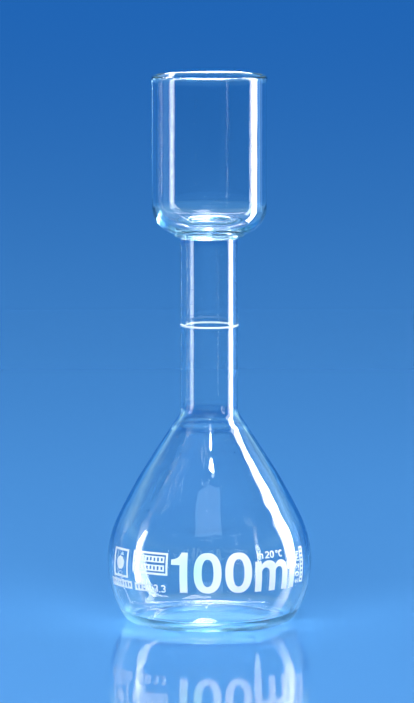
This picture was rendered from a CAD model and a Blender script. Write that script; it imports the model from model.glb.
"""The looks of a 100 ml volumetric flask: one continuous blown-glass vessel and its fired enamel.

Everything is in metres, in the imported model's frame. Sizes come from the boxes of the CAD nodes, and the
glassblower's details that the boxes can't tell (walls, corners, welds) are named values below.
"""

import math

import bmesh
import bpy
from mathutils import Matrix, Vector, noise


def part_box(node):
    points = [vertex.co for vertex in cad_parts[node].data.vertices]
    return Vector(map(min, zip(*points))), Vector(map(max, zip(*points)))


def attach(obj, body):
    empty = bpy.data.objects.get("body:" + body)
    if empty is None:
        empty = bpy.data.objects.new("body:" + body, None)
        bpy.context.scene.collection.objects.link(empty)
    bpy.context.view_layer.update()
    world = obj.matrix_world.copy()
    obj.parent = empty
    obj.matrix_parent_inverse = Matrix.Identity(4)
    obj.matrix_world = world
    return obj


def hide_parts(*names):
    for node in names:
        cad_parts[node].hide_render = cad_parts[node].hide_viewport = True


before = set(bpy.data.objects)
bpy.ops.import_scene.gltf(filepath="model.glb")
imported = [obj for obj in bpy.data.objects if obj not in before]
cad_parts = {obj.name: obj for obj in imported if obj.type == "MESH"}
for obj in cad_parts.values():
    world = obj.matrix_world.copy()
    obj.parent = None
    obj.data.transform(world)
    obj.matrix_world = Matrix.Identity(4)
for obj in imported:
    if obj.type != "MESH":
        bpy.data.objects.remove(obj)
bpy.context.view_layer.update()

MM = 0.001

# ---- Sizes read from the frame ----

_, BULB_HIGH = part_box("bulb")
NECK_LOW, NECK_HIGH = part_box("neck_tube")
CUP_LOW, CUP_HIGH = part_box("cup")

NECK_RADIUS = NECK_HIGH.x
RIM_HEIGHT = CUP_HIGH.z
LOWER_WELD = (BULB_HIGH.z + NECK_LOW.z) / 2
UPPER_WELD = (NECK_HIGH.z + CUP_LOW.z) / 2

# ---- The glass, as it was blown and welded ----

BELLY_RADIUS = 29.6 * MM
BELLY_HEIGHT = 17.75 * MM
BELLY_MIDDLE = Vector((0, 0, BELLY_HEIGHT))
SHOULDER_START = 26.0
SHOULDER_RADIUS = 165 * MM
SHOULDER_END = 33.2
SHOULDER_FILLET = 4 * MM
BULB_WALL = 1.0 * MM

FOOT_CORNER = 4 * MM
FOOT_INSIDE_CORNER = 5 * MM
PUNT_RADIUS = 17 * MM
PUNT_HEIGHT = 1.4 * MM
FLOOR_THICKNESS = 1.8 * MM

BORE_RADIUS = 7 * MM

CUP_RADIUS = 16.6 * MM
CUP_WALL = 1.5 * MM
CUP_CORNER = 8 * MM
CUP_CORNER_HEIGHT = 121 * MM
CUP_FLOOR_HEIGHT = 115.6 * MM
CUP_INSIDE_CORNER = 6.2 * MM
COLLAR_RADIUS = 10.2 * MM
COLLAR_ROUNDING = 0.7 * MM
HOLE_ROUNDING = 1.5 * MM
NECK_WELD_FILLET = 0.6 * MM
RIM_FLARE = 0.12 * MM
FLARE_DEPTH = 1.4 * MM

SEAM_HEIGHT = 57.6 * MM
SEAM_SPREAD = 0.7 * MM
SEAM_RISE = 0.12 * MM

TRUE_FOOT_HEIGHT = 6 * MM
BLOWN_FADE = 20 * MM
CHILL_HEIGHT = 48 * MM
CHILL_SPREAD = 9 * MM
SCUFF_HEIGHT = 0.22 * MM

GLASS_SIDES = 288
GLASS_IOR = 1.473
GLASS_DEPTH_COLOUR = (0.62, 0.9, 0.96, 1)
GLASS_DEPTH_DENSITY = 55

# ---- The enamel, fired into the surface of the glass ----

ENAMEL_ROOT = 0.02 * MM
ENAMEL_RISE = 0.08 * MM
ENAMEL_EDGE = 0.9 * MM
ENAMEL_CREASE = 35
RING_MARK_WIDTH = 0.55 * MM
THICK_ENAMEL_COLOUR = (0.93, 0.95, 0.94, 1)
THIN_ENAMEL_COLOUR = (0.6, 0.92, 0.72, 1)
THIN_ENAMEL = (-5 * MM, -29 * MM, 19 * MM)

# ---- The studio ----

CAMERA_DISTANCE = 1.7
CAMERA_HEIGHT = 0.27
CAMERA_AIM = (-0.0007, 0, 0.0788)
CAMERA_LENS = 302.4

FLOOR_COLOUR = (0.11, 0.33, 0.7, 1)
FLOOR_RADIUS = 12
FLOOR_DROP = 0.02 * MM

WHITE = (1, 1, 1)
PALE_BLUE = (0.6, 0.8, 1)
SKY_BLUE = (0.35, 0.65, 1)


# ---- Camera ----

def add_camera():
    """A long lens, a little above the rim, which looks down at the middle of the flask."""
    aim = Vector(CAMERA_AIM)
    camera = bpy.data.objects.new("camera", bpy.data.cameras.new("camera"))
    bpy.context.scene.collection.objects.link(camera)
    camera.data.sensor_fit = "VERTICAL"
    camera.data.sensor_height = 36
    camera.data.lens = CAMERA_LENS
    camera.data.clip_start = 0.01
    camera.data.clip_end = 100
    camera.location = (aim.x, -CAMERA_DISTANCE, CAMERA_HEIGHT)
    camera.rotation_euler = (aim - camera.location).to_track_quat("-Z", "Y").to_euler()
    bpy.context.scene.camera = camera


# ---- Outlines in the (radius, height) plane ----

def arc(centre_radius, centre_height, radius, start, end, steps):
    """Points on an arc about a centre, from one angle to another, in degrees."""
    points = []
    for i in range(steps + 1):
        angle = math.radians(start + (end - start) * i / steps)
        across, up = radius * math.cos(angle), radius * math.sin(angle)
        points.append((centre_radius + across, centre_height + up))
    return points


def line(start, end, steps):
    """Points between two ends, without the ends."""
    return [
        (start[0] + (end[0] - start[0]) * i / steps, start[1] + (end[1] - start[1]) * i / steps)
        for i in range(1, steps)
    ]


def dome(edge_radius, edge_height, rise, steps):
    """A shallow dome, from its top on the axis down to its edge."""
    radius = (edge_radius**2 + rise**2) / (2 * rise)
    half_angle = math.degrees(math.asin(edge_radius / radius))
    return arc(0, edge_height + rise - radius, radius, 90, 90 - half_angle, steps)


def pear(wall, corner, floor, neck):
    """One face of the bulb, from its floor's edge to the neck, set in from the outside by a wall."""
    belly = BELLY_RADIUS - wall
    corner_height = floor + corner
    corner_radius = math.sqrt((belly - corner) ** 2 - (BELLY_HEIGHT - corner_height) ** 2)
    corner_angle = math.degrees(math.atan2(corner_height - BELLY_HEIGHT, corner_radius))
    start, end = math.radians(SHOULDER_START), math.radians(SHOULDER_END)
    shoulder = SHOULDER_RADIUS - wall
    centre_radius = (BELLY_RADIUS - SHOULDER_RADIUS) * math.cos(start)
    centre_height = BELLY_HEIGHT + (BELLY_RADIUS - SHOULDER_RADIUS) * math.sin(start)
    fillet = SHOULDER_FILLET + wall
    across = (neck + fillet - centre_radius) * math.cos(end)
    fillet_height = centre_height + (shoulder + fillet - across) / math.sin(end)
    shoulder_arc = arc(centre_radius, centre_height, shoulder, SHOULDER_START, SHOULDER_END, 24)
    fillet_arc = arc(neck + fillet, fillet_height, fillet, 180 + SHOULDER_END, 180, 16)
    return (
        arc(corner_radius, corner_height, corner, -90, corner_angle, 20)
        + arc(0, BELLY_HEIGHT, belly, corner_angle, SHOULDER_START, 48)[1:]
        + shoulder_arc[1:]
        + line(shoulder_arc[-1], fillet_arc[0], 24)
        + fillet_arc
    )


def cup_outside():
    """From the weld on the neck, over the collar and the round bottom, up to the rim."""
    centre = CUP_RADIUS - CUP_CORNER
    collar_top = CUP_CORNER_HEIGHT - math.sqrt(CUP_CORNER**2 - (COLLAR_RADIUS - centre) ** 2)
    collar_angle = math.degrees(math.atan2(collar_top - CUP_CORNER_HEIGHT, COLLAR_RADIUS - centre))
    bottom = arc(centre, CUP_CORNER_HEIGHT, CUP_CORNER, collar_angle, 0, 24)
    fillet, rounding = NECK_WELD_FILLET, COLLAR_ROUNDING
    weld = arc(NECK_RADIUS + fillet, UPPER_WELD - fillet, fillet, 180, 90, 8)
    collar = arc(COLLAR_RADIUS - rounding, UPPER_WELD + rounding, rounding, -90, 0, 8)
    return weld + collar + bottom + line(bottom[-1], rim()[0], 24) + rim()


def rim():
    """The fire-polished lip: half a turn from the outside of the wall to the inside."""
    return arc(CUP_RADIUS - CUP_WALL / 2, RIM_HEIGHT - CUP_WALL / 2, CUP_WALL / 2, 0, 180, 20)


def cup_inside():
    """From the rim down the wall, over the floor and into the bore of the neck."""
    corner = CUP_INSIDE_CORNER
    turn = arc(CUP_RADIUS - CUP_WALL - corner, CUP_FLOOR_HEIGHT + corner, corner, 0, -90, 20)
    hole = arc(BORE_RADIUS + HOLE_ROUNDING, CUP_FLOOR_HEIGHT - HOLE_ROUNDING, HOLE_ROUNDING, 90, 180, 8)
    return line(rim()[-1], turn[0], 24) + turn + hole


def vessel_outline():
    """The outer face from the axis under the punt to the rim, and the inner face back to the axis."""
    outside = pear(0, FOOT_CORNER, 0, NECK_RADIUS)
    inside = pear(BULB_WALL, FOOT_INSIDE_CORNER, FLOOR_THICKNESS, BORE_RADIUS)
    floor = dome(inside[0][0], FLOOR_THICKNESS, PUNT_HEIGHT, 20)
    outer_cup = cup_outside()
    inner_cup = cup_inside()
    punt = dome(PUNT_RADIUS, 0, PUNT_HEIGHT, 16)
    outer = punt + outside + line(outside[-1], outer_cup[0], 24) + outer_cup
    inner = inner_cup + line(inner_cup[-1], inside[-1], 24) + inside[::-1] + floor[::-1][1:]
    return outer, inner


# ---- The surface as a glassblower leaves it ----

def unevenness(angle, height):
    """How far the glass stands out from its true outline.

    The blown bulb has slow and quick waves, the tube has faint draw lines, and the shoulder has the fine
    chill ripples of the mould.
    """
    blown = max(0.0, min(1.0, (LOWER_WELD - height) / BLOWN_FADE))
    around = Vector((math.sin(angle), -math.cos(angle), 0)) * 2.2
    slow = noise.noise(around * 1.3 + Vector((3.1, 0, height / (17 * MM))))
    quick = noise.noise(around * 4.2 + Vector((7.7, 2.0, height / (4.5 * MM))))
    drawn = noise.noise(around * 9 + Vector((0, 5.5, height / (90 * MM))))
    chill = math.exp(-(((height - CHILL_HEIGHT) / CHILL_SPREAD) ** 2))
    ripple = noise.noise(around * 0.9 + Vector((1.3, 9.1, height / (1.7 * MM))))
    return (blown * (0.1 * slow + 0.045 * quick) + 0.005 * drawn + 0.016 * chill * ripple) * MM


def seam(height):
    """The low ring outside the shoulder where the neck was fused to the bulb."""
    return SEAM_RISE * math.exp(-(((height - SEAM_HEIGHT) / SEAM_SPREAD) ** 2))


def flare(height):
    """The lip's slight turn outward, where the flame softened it."""
    return RIM_FLARE * math.exp(-(RIM_HEIGHT - height) / FLARE_DEPTH)


def around_axis(radius, angle, height):
    return Vector((radius * math.sin(angle), -radius * math.cos(angle), height))


def add_mesh(name, bm):
    """Makes a smooth object of a bmesh."""
    mesh = bpy.data.meshes.new(name)
    bm.to_mesh(mesh)
    bm.free()
    mesh.shade_smooth()
    piece = bpy.data.objects.new(name, mesh)
    bpy.context.scene.collection.objects.link(piece)
    return piece


def turned_rings(bm, outline, sides, outside_count):
    """Rings of vertices round the axis. The first outside_count are the outer face, with its seam."""
    rings = []
    for place, (radius, height) in enumerate(outline):
        if radius < 1e-9:
            rings.append([bm.verts.new((0, 0, height))])
            continue
        stand = flare(height) + (seam(height) if place < outside_count else 0)
        steady = min(1.0, height / TRUE_FOOT_HEIGHT)
        ring = []
        for i in range(sides):
            angle = 2 * math.pi * i / sides
            reach = radius + stand + steady * unevenness(angle, height)
            ring.append(bm.verts.new(around_axis(reach, angle, height)))
        rings.append(ring)
    return rings


def skin(bm, rings, sides):
    """Faces between each ring and the next, pointing out. A ring of one vertex is on the axis."""
    for lower, upper in zip(rings, rings[1:]):
        for i in range(sides):
            j = (i + 1) % sides
            below = [lower[i % len(lower)], lower[j % len(lower)]]
            above = [upper[j % len(upper)], upper[i % len(upper)]]
            bm.faces.new(list(dict.fromkeys(below + above)))
    bmesh.ops.recalc_face_normals(bm, faces=bm.faces)


# ---- Materials ----

def material(name):
    made = bpy.data.materials.new(name)
    made.use_nodes = True
    return made, made.node_tree.nodes, made.node_tree.links


def glass_material():
    """Clear borosilicate: faint draw lines, a cyan depth in thick places, and a foot scuffed by use."""
    made, nodes, links = material("clear_borosilicate")
    shader = nodes["Principled BSDF"]
    shader.inputs["Base Color"].default_value = (1, 1, 1, 1)
    shader.inputs["Transmission Weight"].default_value = 1
    shader.inputs["IOR"].default_value = GLASS_IOR
    volume = nodes.new("ShaderNodeVolumeAbsorption")
    volume.inputs["Color"].default_value = GLASS_DEPTH_COLOUR
    volume.inputs["Density"].default_value = GLASS_DEPTH_DENSITY
    links.new(volume.outputs["Volume"], nodes["Material Output"].inputs["Volume"])

    place = nodes.new("ShaderNodeTexCoord")
    split = nodes.new("ShaderNodeSeparateXYZ")
    links.new(place.outputs["Object"], split.inputs["Vector"])
    foot = nodes.new("ShaderNodeMapRange")
    foot.interpolation_type = "SMOOTHSTEP"
    foot.inputs["From Min"].default_value = SCUFF_HEIGHT
    foot.inputs["From Max"].default_value = 0
    scuffs = nodes.new("ShaderNodeTexNoise")
    scuffs.inputs["Scale"].default_value = 900
    scuffs.inputs["Detail"].default_value = 5
    scuffed = nodes.new("ShaderNodeMath")
    scuffed.operation = "MULTIPLY"
    roughness = nodes.new("ShaderNodeMapRange")
    roughness.inputs["To Min"].default_value = 0
    roughness.inputs["To Max"].default_value = 0.2
    links.new(split.outputs["Z"], foot.inputs["Value"])
    links.new(place.outputs["Object"], scuffs.inputs["Vector"])
    links.new(foot.outputs["Result"], scuffed.inputs[0])
    links.new(scuffs.outputs["Fac"], scuffed.inputs[1])
    links.new(scuffed.outputs["Value"], roughness.inputs["Value"])
    links.new(roughness.outputs["Result"], shader.inputs["Roughness"])

    stretched = nodes.new("ShaderNodeMapping")
    stretched.inputs["Scale"].default_value = (1, 1, 0.06)
    draw_lines = nodes.new("ShaderNodeTexNoise")
    draw_lines.inputs["Scale"].default_value = 420
    draw_lines.inputs["Detail"].default_value = 2
    bump = nodes.new("ShaderNodeBump")
    bump.inputs["Strength"].default_value = 0.06
    bump.inputs["Distance"].default_value = 0.00002
    links.new(place.outputs["Object"], stretched.inputs["Vector"])
    links.new(stretched.outputs["Vector"], draw_lines.inputs["Vector"])
    links.new(draw_lines.outputs["Fac"], bump.inputs["Height"])
    links.new(bump.outputs["Normal"], shader.inputs["Normal"])
    return made


def enamel_material():
    """Satin white enamel with a fine grain, greener near one place where it was printed thin."""
    made, nodes, links = material("white_enamel")
    shader = nodes["Principled BSDF"]
    place = nodes.new("ShaderNodeTexCoord")
    thinness = nodes.new("ShaderNodeTexNoise")
    thinness.inputs["Scale"].default_value = 55
    thinness.inputs["Detail"].default_value = 3
    reach = nodes.new("ShaderNodeVectorMath")
    reach.operation = "DISTANCE"
    reach.inputs[1].default_value = THIN_ENAMEL
    away = nodes.new("ShaderNodeMath")
    away.operation = "MULTIPLY_ADD"
    away.inputs[1].default_value = -60
    tint = nodes.new("ShaderNodeValToRGB")
    tint.color_ramp.elements[0].position = 0
    tint.color_ramp.elements[0].color = THICK_ENAMEL_COLOUR
    tint.color_ramp.elements[1].position = 0.4
    tint.color_ramp.elements[1].color = THIN_ENAMEL_COLOUR
    grain = nodes.new("ShaderNodeTexNoise")
    grain.inputs["Scale"].default_value = 2600
    grain.inputs["Detail"].default_value = 4
    satin = nodes.new("ShaderNodeMapRange")
    satin.inputs["To Min"].default_value = 0.28
    satin.inputs["To Max"].default_value = 0.5
    bump = nodes.new("ShaderNodeBump")
    bump.inputs["Strength"].default_value = 0.25
    bump.inputs["Distance"].default_value = 0.00004
    links.new(place.outputs["Object"], thinness.inputs["Vector"])
    links.new(place.outputs["Object"], grain.inputs["Vector"])
    links.new(place.outputs["Object"], reach.inputs[0])
    links.new(reach.outputs["Value"], away.inputs[0])
    links.new(thinness.outputs["Fac"], away.inputs[2])
    links.new(away.outputs["Value"], tint.inputs["Fac"])
    links.new(tint.outputs["Color"], shader.inputs["Base Color"])
    links.new(grain.outputs["Fac"], satin.inputs["Value"])
    links.new(satin.outputs["Result"], shader.inputs["Roughness"])
    links.new(grain.outputs["Fac"], bump.inputs["Height"])
    links.new(bump.outputs["Normal"], shader.inputs["Normal"])
    return made


def floor_material():
    made, nodes, _ = material("floor")
    shader = nodes["Principled BSDF"]
    shader.inputs["Base Color"].default_value = FLOOR_COLOUR
    shader.inputs["Roughness"].default_value = 0.05
    return made


# ---- Pieces ----

def add_vessel():
    outside, inside = vessel_outline()
    bm = bmesh.new()
    rings = turned_rings(bm, outside + inside, GLASS_SIDES, len(outside))
    skin(bm, rings, GLASS_SIDES)
    vessel = add_mesh("glass_vessel", bm)
    vessel.data.materials.append(glass_material())
    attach(vessel, "root")
    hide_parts("bulb", "neck_tube", "cup")


def onto_glass(point, rise):
    """The point of the blown belly outward of a point, raised by rise along the belly's own normal."""
    way = (point - BELLY_MIDDLE).normalized()
    angle = math.atan2(way.x, -way.y)
    height = BELLY_HEIGHT + way.z * BELLY_RADIUS
    return BELLY_MIDDLE + way * (BELLY_RADIUS + unevenness(angle, height) + rise)


def add_print(name, node, enamel):
    """One island of enamel: the CAD outline, divided finely and laid on the belly's true surface.

    It is cleaned and divided at 1000 times its size, in millimetres, and put back.
    """
    bm = bmesh.new()
    bm.from_mesh(node.data)
    bmesh.ops.scale(bm, vec=(1 / MM, 1 / MM, 1 / MM), verts=bm.verts)
    bmesh.ops.remove_doubles(bm, verts=bm.verts, dist=0.004)
    bmesh.ops.dissolve_degenerate(bm, edges=bm.edges, dist=0.002)
    for _ in range(2):
        long_edges = [edge for edge in bm.edges if edge.calc_length() > ENAMEL_EDGE / MM]
        bmesh.ops.subdivide_edges(bm, edges=long_edges, cuts=1)
        many_sided = [face for face in bm.faces if len(face.verts) > 3]
        bmesh.ops.triangulate(bm, faces=many_sided, quad_method="SHORT_EDGE")
    bmesh.ops.scale(bm, vec=(MM, MM, MM), verts=bm.verts)
    reaches = [(vertex.co - BELLY_MIDDLE).length for vertex in bm.verts]
    halfway = (min(reaches) + max(reaches)) / 2
    for vertex, reach in zip(bm.verts, reaches):
        vertex.co = onto_glass(vertex.co, ENAMEL_RISE if reach > halfway else -ENAMEL_ROOT)
    piece = add_mesh("print_" + name, bm)
    piece.data.set_sharp_from_angle(angle=math.radians(ENAMEL_CREASE))
    finish_enamel(piece, name, enamel)


def add_ring_mark(enamel):
    """The calibration ring, a thin band of enamel with soft edges, bedded in the neck."""
    low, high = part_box("ring_mark")
    height = (low.z + high.z) / 2
    half = RING_MARK_WIDTH / 2
    edge = [(-half, -ENAMEL_ROOT), (-half * 0.93, ENAMEL_RISE * 0.6), (-half * 0.7, ENAMEL_RISE)]
    section = edge + [(-side, reach) for side, reach in reversed(edge)]
    bm = bmesh.new()
    rings = []
    for side, reach in section:
        ring = []
        for i in range(GLASS_SIDES):
            angle = 2 * math.pi * i / GLASS_SIDES
            radius = NECK_RADIUS + reach + unevenness(angle, height)
            ring.append(bm.verts.new(around_axis(radius, angle, height + side)))
        rings.append(ring)
    skin(bm, rings + rings[:1], GLASS_SIDES)
    piece = add_mesh("print_ring_mark", bm)
    finish_enamel(piece, "ring_mark", enamel)


def finish_enamel(piece, node_name, enamel):
    piece.data.materials.clear()
    piece.data.materials.append(enamel)
    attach(piece, "root")
    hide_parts(node_name)


def add_enamel():
    enamel = enamel_material()
    add_ring_mark(enamel)
    for name in sorted(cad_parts):
        if name not in ("bulb", "neck_tube", "cup", "ring_mark"):
            add_print(name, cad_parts[name], enamel)


# ---- Studio ----

def add_floor():
    mesh = bpy.data.meshes.new("floor")
    bm = bmesh.new()
    bmesh.ops.create_circle(bm, cap_ends=True, radius=FLOOR_RADIUS, segments=96)
    bm.to_mesh(mesh)
    bm.free()
    floor = bpy.data.objects.new("floor", mesh)
    bpy.context.scene.collection.objects.link(floor)
    floor.location = (0, 0, -FLOOR_DROP)
    mesh.materials.append(floor_material())


def add_softbox(name, place, aim, width, height, power, colour=WHITE, shape="RECTANGLE"):
    """A soft light that shows in the glass and on the floor, but not to the camera itself."""
    light = bpy.data.lights.new(name, "AREA")
    light.shape = shape
    light.size = width
    light.size_y = height
    light.energy = power
    light.color = colour
    softbox = bpy.data.objects.new(name, light)
    bpy.context.scene.collection.objects.link(softbox)
    softbox.location = place
    direction = Vector(aim) - Vector(place)
    softbox.rotation_euler = direction.to_track_quat("-Z", "Y").to_euler()
    softbox.visible_camera = False
    return softbox


def at_bearing(bearing, distance, height):
    """A place round the flask, by its bearing in degrees from the front, positive to the right."""
    angle = math.radians(bearing)
    return Vector((distance * math.sin(angle), -distance * math.cos(angle), height))


def add_world():
    """A pale blue room: palest a little above the floor, deeper blue overhead and in front."""
    world = bpy.data.worlds.new("studio")
    bpy.context.scene.world = world
    world.use_nodes = True
    nodes, links = world.node_tree.nodes, world.node_tree.links
    place = nodes.new("ShaderNodeTexCoord")
    split = nodes.new("ShaderNodeSeparateXYZ")
    depth = nodes.new("ShaderNodeMapRange")
    depth.interpolation_type = "SMOOTHSTEP"
    depth.inputs["From Min"].default_value = -0.6
    depth.inputs["From Max"].default_value = 0.7
    depth.inputs["To Min"].default_value = 0.3
    rise = nodes.new("ShaderNodeValToRGB")
    rise.color_ramp.interpolation = "EASE"
    rise.color_ramp.elements[0].position = 0.045
    rise.color_ramp.elements[0].color = (0.015, 0.15, 0.54, 1)
    rise.color_ramp.elements[1].position = 0.62
    rise.color_ramp.elements[1].color = (0.04, 0.13, 0.32, 1)
    rise.color_ramp.elements.new(0.16).color = (0.09, 0.38, 0.88, 1)
    rise.color_ramp.elements.new(0.3).color = (0.5, 0.9, 1.05, 1)
    rise.color_ramp.elements.new(0.42).color = (0.16, 0.4, 0.7, 1)
    links.new(place.outputs["Generated"], split.inputs["Vector"])
    links.new(split.outputs["Y"], depth.inputs["Value"])
    links.new(split.outputs["Z"], rise.inputs["Fac"])
    links.new(rise.outputs["Color"], nodes["Background"].inputs["Color"])
    links.new(depth.outputs["Result"], nodes["Background"].inputs["Strength"])


def add_studio():
    """Soft fill on the floor and the enamel, and lights that only show as highlights in the glass."""
    middle = Vector((0, 0, 0.05))
    fill = add_softbox("fill", at_bearing(-6, 1.05, 0.9), middle, 1.3, 1.3, 25)
    fill.visible_glossy = False
    fill.visible_transmission = False
    add_softbox("front_panel", at_bearing(0, 0.8, 0.8), middle, 0.6, 0.36, 0.9, PALE_BLUE)
    reflector = at_bearing(119, 0.62, 0.3)
    add_softbox("right_reflector", reflector, (0, 0, 0.3), 0.27, 0.6, 0.6, SKY_BLUE)
    left = (-0.0614, -0.0195, 0.024)
    right = at_bearing(98.3, 0.155, 0.13)
    for highlight in (
        add_softbox("right_softbox", right, (0, 0, right.z), 0.042, 0.26, 1.2),
        add_softbox("left_card", left, (0, left[1], left[2]), 0.007, 0.052, 0.018, shape="ELLIPSE"),
        add_softbox("top_light", at_bearing(6, 0.62, 1), middle, 0.07, 0.07, 1.2, shape="DISK"),
        add_softbox("overhead", (0.14, 0, 1.05), middle, 0.6, 0.3, 45),
        add_softbox("back_light", (0, 0.8, 0.85), middle, 0.9, 0.12, 36),
        add_softbox("back_spot", (-0.02, 0.86, 0.82), middle, 0.13, 0.6, 150, shape="ELLIPSE"),
    ):
        highlight.visible_diffuse = False
    add_world()


def allow_deep_glass():
    """Light crosses many faces in the thick base of the cup and in the foot."""
    cycles = bpy.context.scene.cycles
    cycles.max_bounces = 48
    cycles.glossy_bounces = 32
    cycles.transmission_bounces = 40


add_camera()
add_vessel()
add_enamel()
add_floor()
add_studio()
allow_deep_glass()
bpy.context.scene.view_settings.view_transform = "Standard"
